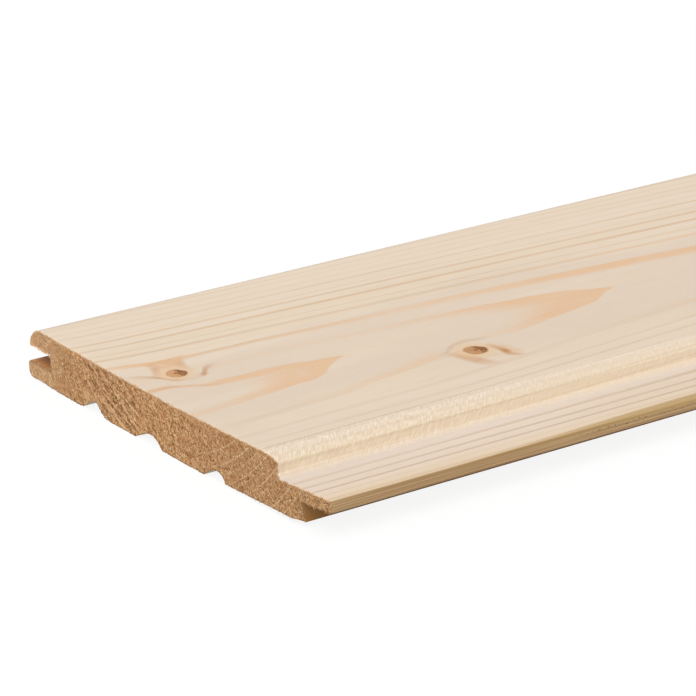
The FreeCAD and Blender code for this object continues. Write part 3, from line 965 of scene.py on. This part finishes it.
def listed(wood, values):
    """A value that is listed by ring: it is level over each ring and changes just inside the next."""
    steps = []
    for number, value in enumerate(values):
        steps += [(number - 0.85, value), (number + 0.05, value)]
    return curve(wood.ring, steps)


def by_side(wood, groove_near, groove_far, tongue_near, tongue_far):
    """A listed value, blended along the board and across it, from the groove's side to the tongue's."""
    change = wood.along.step(*TONES_CHANGE)
    groove = listed(wood, groove_near) * (1.0 - change) + listed(wood, groove_far) * change
    tongue = listed(wood, tongue_near) * (1.0 - change) + listed(wood, tongue_far) * change
    return groove * (1.0 - wood.side) + tongue * wood.side


def late_wood_reading(wood):
    """How much late wood shows at a spot: its profile in the ring times the ring's own tone."""
    tone = by_side(wood, GROOVE_TONES_NEAR, GROOVE_TONES_FAR, TONGUE_TONES_NEAR, TONGUE_TONES_FAR)
    for number, groove, tongue in FLAME_TONES:
        here = wood.ring.step(number - 0.85, number - 0.80) * wood.ring.step(number + 0.05, number)
        shown = curve(wood.along, groove) * (1.0 - wood.side) + curve(wood.along, tongue) * wood.side
        tone = tone + here * shown
    outer = wood.ring.step(14.9, 15.1)
    tone = tone * (1.0 - outer) + (0.12 + 0.35 * chance(wood.ring.math("FLOOR"))) * outer
    slow = noise(wood.along / 55.0, wood.across / 6.0, wood.height / 6.0)
    pressed = wood.knot.step(4.5, 2.0)
    tone = tone * (1.0 + 0.7 * slow) * (1.0 + 0.3 * pressed)
    begin = by_side(wood, GROOVE_LATE_FROM_NEAR, GROOVE_LATE_FROM_FAR, TONGUE_LATE_FROM, TONGUE_LATE_FROM)
    flat = wood.tilt.step(0.30, 0.15)
    at_the_end = wood.along.step(26.0, 8.0) * wood.ring.step(3.2, 3.0)
    begin = begin + 0.12 * pressed + flat * 0.06 + 0.14 * at_the_end
    part = wood.ring.math("FRACT")
    full = begin * (0.45 - 0.15 * flat) + 0.55 + 0.15 * flat
    return part.step(begin, full) * part.step(1.0, 0.985) * tone


def knot_colour(wood, colour):
    """Lays the knots over a colour: the cream halo, then the core with its rings and its dark side."""
    speckle = noise(wood.along / 0.55, wood.across / 0.55, wood.height / 2.0, 3.0)
    wobble = noise(wood.along / 2.2, wood.across / 2.2, wood.height / 4.0)
    colour = blend(wood.knot.step(2.5, 1.2) * 0.78, colour, HALO)
    reach = wood.knot + wobble * 0.22
    rings = (reach * 15.0 + speckle * 2.0).math("SINE")
    tan = blend(wood.along.step(40.0, 60.0) * 0.5, KNOT_TAN, KNOT_RIM)
    core = blend(rings.step(-0.5, 1.0) * 0.5, tan, KNOT_RIM)
    core = blend(reach.step(0.70, 1.0) * 0.35, core, KNOT_RIM)
    core = blend(reach.step(0.34, 0.14) * 0.8, core, KNOT_DARK)
    dark = (wood.beyond + wobble * 0.7 + speckle * 0.5).step(0.05, 0.48)
    core = blend(dark * 0.97, core, KNOT_DARK)
    core = blend(dark * (speckle + rings * 0.25).step(-0.15, 0.25) * 0.55, core, KNOT_BLACK)
    return blend(reach.step(1.24, 0.86), colour, core)


def furred_fall(wood, colour):
    """Lays the fine fibres that stand along the fall and its wall over a colour: cream all over, then
    lighter and darker specks, most near the end. Then it multiplies painted highlight and painted shade
    across the fall, its wall, the cove and the ledge. Gives how far the fibres stand, too."""
    along, across, downhill = wood.along, wood.across, wood.across - wood.height
    on_top = wood.height.step(8.0, 8.3)
    over_tongue = across.step(96.4, 97.2) * on_top
    fuzzy = over_tongue * across.step(103.0, 102.2)
    furred = across.step(93.0, 97.0) * on_top * across.step(103.2, 102.0)
    furred = furred * (1.0 - 0.45 * across.step(WALL - 0.1, WALL + 0.1))
    furred = furred * (0.45 + 0.55 * along.step(85.0, 45.0))
    specks = noise(
        (along * 0.85 + downhill * 0.53) / 0.42, (along * 0.53 - downhill * 0.85) / 2.6, 0.0, 1.5, 0.6
    )
    colour = blend(fuzzy * 0.5, colour, FUR)
    colour = blend(furred * specks.step(0.0, 0.34) * 0.50, colour, FUR_LIGHT)
    colour = blend(furred * specks.step(0.0, -0.34) * 0.42, colour, FUR_DARK)
    # Painted highlight and painted shade across the fall, its wall, the cove and the ledge, with some tint
    colour = blend(over_tongue, colour, ramp(across, FALL_PAINTED_LIGHT_AND_TINT), "MULTIPLY")
    colour = blend(across.step(102.4, 103.2) * on_top, colour, LEDGE_TINT, "MULTIPLY")
    return colour, fuzzy * specks


def browned_and_shaded_edges(wood, colour):
    """Lays over a colour the tongue's arris and its edge, browner wood partly darkened with painted shade,
    streaked and torn in a row, with a painted shadow line under the arris. Then it lays painted shade in
    dark brown on the shoulder under the tongue and inside the groove."""
    along, across, height = wood.along, wood.across, wood.height
    worn = along.step(18.0, 105.0)
    yellowed = across.step(103.0, 106.0) * height.step(8.0, 8.3) * along.step(60.0, 95.0)
    colour = blend(yellowed, colour, YELLOWED, "MULTIPLY")
    streaks = noise(along / 45.0, across / 0.4, height / 0.34, 2.0, 0.6)
    ragged = noise(along / 3.0, across / 0.5, 0.0)
    # The tongue's arris: browner where it rounds over, partly as painted shade
    arris = (across + worn * 2.4 + ragged * 0.5).step(OVERALL_WIDTH - 0.6, OVERALL_WIDTH + 0.5)
    colour = blend(arris * height.step(6.9, 7.6) * (0.35 + 0.5 * worn), colour, ARRIS)
    # The tongue's edge: streaked brown and tan, its own colour darkened partly with painted shade
    edge = blend(streaks.step(-0.25, 0.3), EDGE_BROWN_SHADED, EDGE_TAN_SHADED)
    edge = blend(height.step(8.2, 9.0) * worn * 0.7, edge, EDGE_OLIVE)
    # Painted shadow: a dark line at the top of the edge, under the arris
    edge = blend(height.step(9.0, 9.3) * (1.0 - worn * 0.8) * 0.6, edge, EDGE_SHADOW_LINE)
    foot = (height - 7.1 - 0.45 * along.step(45.0, 60.0)).size().step(0.4, 0.1)
    edge = blend(foot * 0.3, edge, EDGE_FOOT)
    torn = noise(along / 0.9, across, height / 0.30, 1.0).step(0.22, 0.36)
    torn_row = (height - 8.4).size().step(0.7, 0.2) * along.step(62.0, 74.0) * along.step(150.0, 110.0)
    edge = blend(torn * torn_row, edge, EDGE_TORN)
    colour = blend(across.step(OVERALL_WIDTH - 0.38, OVERALL_WIDTH - 0.14), colour, edge)
    # Painted shade: the shoulder, the tongue's underside and the inside of the groove are coloured dark
    # brown
    shoulder = across.step(COVER_WIDTH - 0.25, COVER_WIDTH - 0.05)
    shoulder = shoulder * height.step(ledge(COVER_WIDTH) - 1.9, 6.2)
    in_groove = across.step(0.2, 1.5) * across.step(GROOVE_DEPTH + 0.7, GROOVE_DEPTH + 0.2)
    in_groove = in_groove * height.step(GROOVE_BOTTOM - 0.25, GROOVE_BOTTOM - 0.05)
    in_groove = in_groove * height.step(GROOVE_TOP + 0.15, GROOVE_TOP + 0.02)
    brown = blend(streaks.step(-0.3, 0.4), SHADE_BROWN, SHADE_BROWN_PALE)
    colour = blend((shoulder + in_groove).math("MINIMUM", 1.0), colour, brown)
    # More painted shade, multiplied over the shoulder
    return blend(shoulder, colour, SHOULDER_SHADE, "MULTIPLY")


def planed_spruce():
    """Knife-planed long grain, with its knots, its furred fall and its browned edges, and painted light and
    shade on the last two.
    """
    material, shader = new_wood("planed_spruce", 0.30)
    wood = Spruce(material.node_tree)
    along, across, height = wood.along, wood.across, wood.height
    late = late_wood_reading(wood)

    stripe = noise(along / 300.0, across / 6.0, height / 6.0, 3.0)
    patch = noise(along / 70.0, across / 12.0 + 31.0, height / 12.0)
    middle = (across - 60.0).size().step(34.0, 12.0) + wood.far * -0.6
    pale = blend(stripe.step(-0.25, 0.40) * 0.6, EARLY_PALE, EARLY_WARM)
    pale = blend((patch + middle * 0.55).step(0.0, 0.6) * 0.85, pale, EARLY_COOL)
    inner_flame = wood.ring.step(5.06, 5.0) * (1.0 - wood.side) * along.step(34.0, 14.0)
    flat = wood.tilt.step(0.53, 0.40).math("MAXIMUM", inner_flame)
    ringed = blend(flat, blend(across.step(80.0, 92.0), LINE, COOL_LINE), FLAME)
    ringed = blend(wood.knot.step(4.5, 2.0) * 0.25, ringed, PRESSED)
    colour = blend(late.math("MINIMUM", 1.0), pale, ringed)
    patchy = 1.0 + 0.6 * noise(along / 2.5, across / 2.5, height / 2.5)
    colour = blend(wood.orange * patchy * 0.85, colour, FILLED)
    colour = blend(wood.tan * patchy, colour, SMEARED)
    colour = blend(wood.brown * patchy * 0.9, colour, PRESSED)

    fibres = noise(along / 9.0, across / 0.18, height / 0.18, 2.0, 0.6)
    colour = blend(fibres.step(-0.5, 0.5) * 0.11, colour, FIBRE_SHADE, "MULTIPLY")
    dashes = noise(along / 2.4, across / 0.13, height / 0.13, 1.0).step(0.30, 0.42)
    colour = blend(dashes * (0.10 + 0.25 * late), colour, FIBRE_DASH)
    colour, fur = furred_fall(wood, knot_colour(wood, colour))

    plug(browned_and_shaded_edges(wood, colour), shader.inputs["Base Color"])
    plug(0.52 - 0.06 * late, shader.inputs["Roughness"])
    plug(bump(fibres * 0.35 + late * 0.4 + fur * 0.55, 0.00004), shader.inputs["Normal"])
    return material


# The sawn ends' finish: torn end grain is browner than the planed faces, dark in the pits, partly as
# painted shade, pale on the ring lines, and a painted shadow line runs round its rim below the top. The
# loose fibres that hang on it run from tan to cream.
END_TAN, END_BROWN, END_PIT_BROWN_AND_SHADE = (0.780, 0.485, 0.250), (0.540, 0.288, 0.122), (0.250, 0.100, 0.032)
END_LINE, END_ROSY = (0.86, 0.64, 0.39), (0.56, 0.238, 0.10)
# The frayed top's orange, then a painted shadow line round the end's rim below the top
FRAYED_TOP, END_RIM_SHADOW = (0.76, 0.43, 0.20), (0.17, 0.095, 0.045)
LIPS_TINT = (1.20, 1.32, 1.50)
SLIVER_TAN, SLIVER_CREAM = (0.54, 0.29, 0.125), (0.87, 0.66, 0.42)
# Across the end: how rough the saw left it, how clearly the ring lines show, and how light it is
END_ROUGH = ((10, 0.85), (22, 0.75), (26, 1.15), (47, 1.15), (75, 1.35), (84, 0.95), (121, 1.05))
END_LINES_SHOW = (
    (22, 0.1), (28, 0.5), (45, 0.45), (52, 0.1), (66, 0.25), (82, 0.65), (90, 1.0), (106, 0.9), (114, 0.2)
)
END_LIGHTNESS = (
    (20, 1.0), (44, 1.01), (48, 1.09), (60, 1.09), (78, 1.01), (90, 0.965), (110, 0.955), (114, 0.92)
)


def stored(material, name):
    """The reading of a number that the piece's mesh keeps at its vertices."""
    made = material.node_tree.nodes.new("ShaderNodeAttribute")
    made.attribute_name = name
    return Reading(material.node_tree, made.outputs["Fac"])


def sawn_end_grain():
    """Torn end grain: its depth is the mesh's own tear, roughened by hatching, ticks and torn rings,
    and it darkens from tan to brown and black with the depth, partly its own colour and partly painted
    shade in the pits. A painted shadow line runs round the rim below the top."""
    material, shader = new_wood("sawn_end_grain", 0.15)
    wood = Spruce(material.node_tree)
    along, across, height = wood.along, wood.across, wood.height
    tear, inset = stored(material, "tear"), stored(material, "inset")
    down, over = by_slant(across, height)
    hatch = noise(down / 0.62, over / 0.20, along / 0.8, 2.0, 0.65)
    ticks = noise(across / 0.24, height / 0.42, along / 0.8, 1.0)
    mottle = noise(across / 2.4, height / 1.8, along / 3.0)
    torn_rings = noise(wood.radius / 0.48, across / 4.2, along / 0.8, 1.0)
    torn_rings = torn_rings * across.step(21.0, 28.0) * across.step(54.0, 44.0)
    depth = 0.5 + (tear - 0.5) * 0.85 + (hatch * 0.9 + ticks * 0.7) * curve(across, END_ROUGH)
    depth = depth + mottle * 0.10 + torn_rings * 1.35
    # Darker with the depth, from tan to brown and near black: partly the end grain's own brown, partly
    # painted shade in the pits
    colour = blend(depth.step(0.08, 0.50), END_TAN, END_BROWN)
    colour = blend(depth.step(0.55, 1.0), colour, END_PIT_BROWN_AND_SHADE)
    part = wood.ring.math("FRACT")
    beads = noise(across / 0.60, height / 0.60, along / 0.6)
    lines = part.step(0.86, 0.92) * part.step(0.99, 0.95) * (beads + 0.12).step(-0.05, 0.22)
    colour = blend(lines * curve(across, END_LINES_SHOW), colour, END_LINE)
    rosy = noise(across / 5.0, height / 4.0, along / 3.0 + 9.0, 1.0)
    colour = blend(rosy.step(0.05, 0.4) * 0.35, colour, END_ROSY)
    top = height.step(7.2, 8.6)
    colour = blend((inset + hatch * 0.5).step(0.75, 0.10) * top * 0.50, colour, FRAYED_TOP)
    # Painted shadow: a dark line round the end's rim below the top
    foot = (inset + hatch * 0.2).step(0.45, 0.05) * (1.0 - top)
    colour = blend(foot * 0.6, colour, END_RIM_SHADOW)
    colour = blend(across.step(19.0, 7.0), colour, LIPS_TINT, "MULTIPLY")
    colour = blend(1.0, colour, curve(across, END_LIGHTNESS), "MULTIPLY")
    plug(colour, shader.inputs["Base Color"])
    shader.inputs["Roughness"].default_value = 0.85
    plug(bump(hatch * -1.0, 0.00012), shader.inputs["Normal"])
    return material


def sliver_wood():
    """Loose fibres, from tan to cream by the shade that each one keeps."""
    material, shader = new_wood("sliver_wood", 0.15)
    plug(blend(stored(material, "shade"), SLIVER_TAN, SLIVER_CREAM), shader.inputs["Base Color"])
    shader.inputs["Roughness"].default_value = 0.8
    return material


board_mesh.materials.append(planed_spruce())
board_mesh.materials.append(sawn_end_grain())
fuzz_mesh.materials.append(sliver_wood())

# The studio: a white sweep that the board lies on, one broad soft lamp from the camera's side and an
# even sky. What the camera sees of the floor is mostly plain white, with a faint shadow kept.
FLOOR_HALF, FLOOR_DROP = 40.0, 0.00002
FLOOR_GREY, FLOOR_WHITE = (0.55, 0.55, 0.55), (1.0, 1.0, 1.0)
SUN_STRENGTH, SUN_SPREAD = 2.62, 50.0
SUN_LEAN, SUN_TURN = 37.8, -38.3
SKY_STRENGTH = 0.50
FLOOR_SHARE = 0.89


def of_ray(tree, kind):
    """1 for the rays that Light Path calls by this name and 0 for all others."""
    return Reading(tree, tree.nodes.new("ShaderNodeLightPath").outputs[kind])


floor_mesh = bpy.data.meshes.new("floor")
corner = np.array([(-1, -1), (1, -1), (1, 1), (-1, 1)]) * FLOOR_HALF
floor_mesh.from_pydata(np.column_stack([corner, np.full(4, -FLOOR_DROP)]).tolist(), [], [(0, 1, 2, 3)])
floor = put_in("floor", floor_mesh)

white = bpy.data.materials.new("floor_white")
white.use_nodes = True
tree = white.node_tree
tree.nodes.clear()
seen = of_ray(tree, "Is Camera Ray") + of_ray(tree, "Is Glossy Ray") + of_ray(tree, "Is Transmission Ray")
seen = seen.math("MINIMUM", 1.0)
matt = tree.nodes.new("ShaderNodeBsdfDiffuse")
plug(blend(seen, FLOOR_GREY, FLOOR_WHITE), matt.inputs["Color"])
glow = tree.nodes.new("ShaderNodeEmission")
plug(FLOOR_WHITE, glow.inputs["Color"])
mixed = tree.nodes.new("ShaderNodeMixShader")
plug(seen * FLOOR_SHARE, mixed.inputs[0])
tree.links.new(matt.outputs[0], mixed.inputs[1])
tree.links.new(glow.outputs[0], mixed.inputs[2])
tree.links.new(mixed.outputs[0], tree.nodes.new("ShaderNodeOutputMaterial").inputs[0])
floor_mesh.materials.append(white)

sun = put_in("sun", bpy.data.lights.new("sun", "SUN"))
sun.data.energy = SUN_STRENGTH
sun.data.angle = np.radians(SUN_SPREAD)
sun.rotation_euler = (np.radians(SUN_LEAN), 0.0, np.radians(SUN_TURN))

world = bpy.data.worlds.new("sky")
bpy.context.scene.world = world
world.use_nodes = True
tree = world.node_tree
tree.nodes.clear()
sky = tree.nodes.new("ShaderNodeBackground")
plug(of_ray(tree, "Is Camera Ray") * (1.0 - SKY_STRENGTH) + SKY_STRENGTH, sky.inputs["Strength"])
tree.links.new(sky.outputs[0], tree.nodes.new("ShaderNodeOutputWorld").inputs[0])

bpy.context.scene.view_settings.view_transform = "Standard"
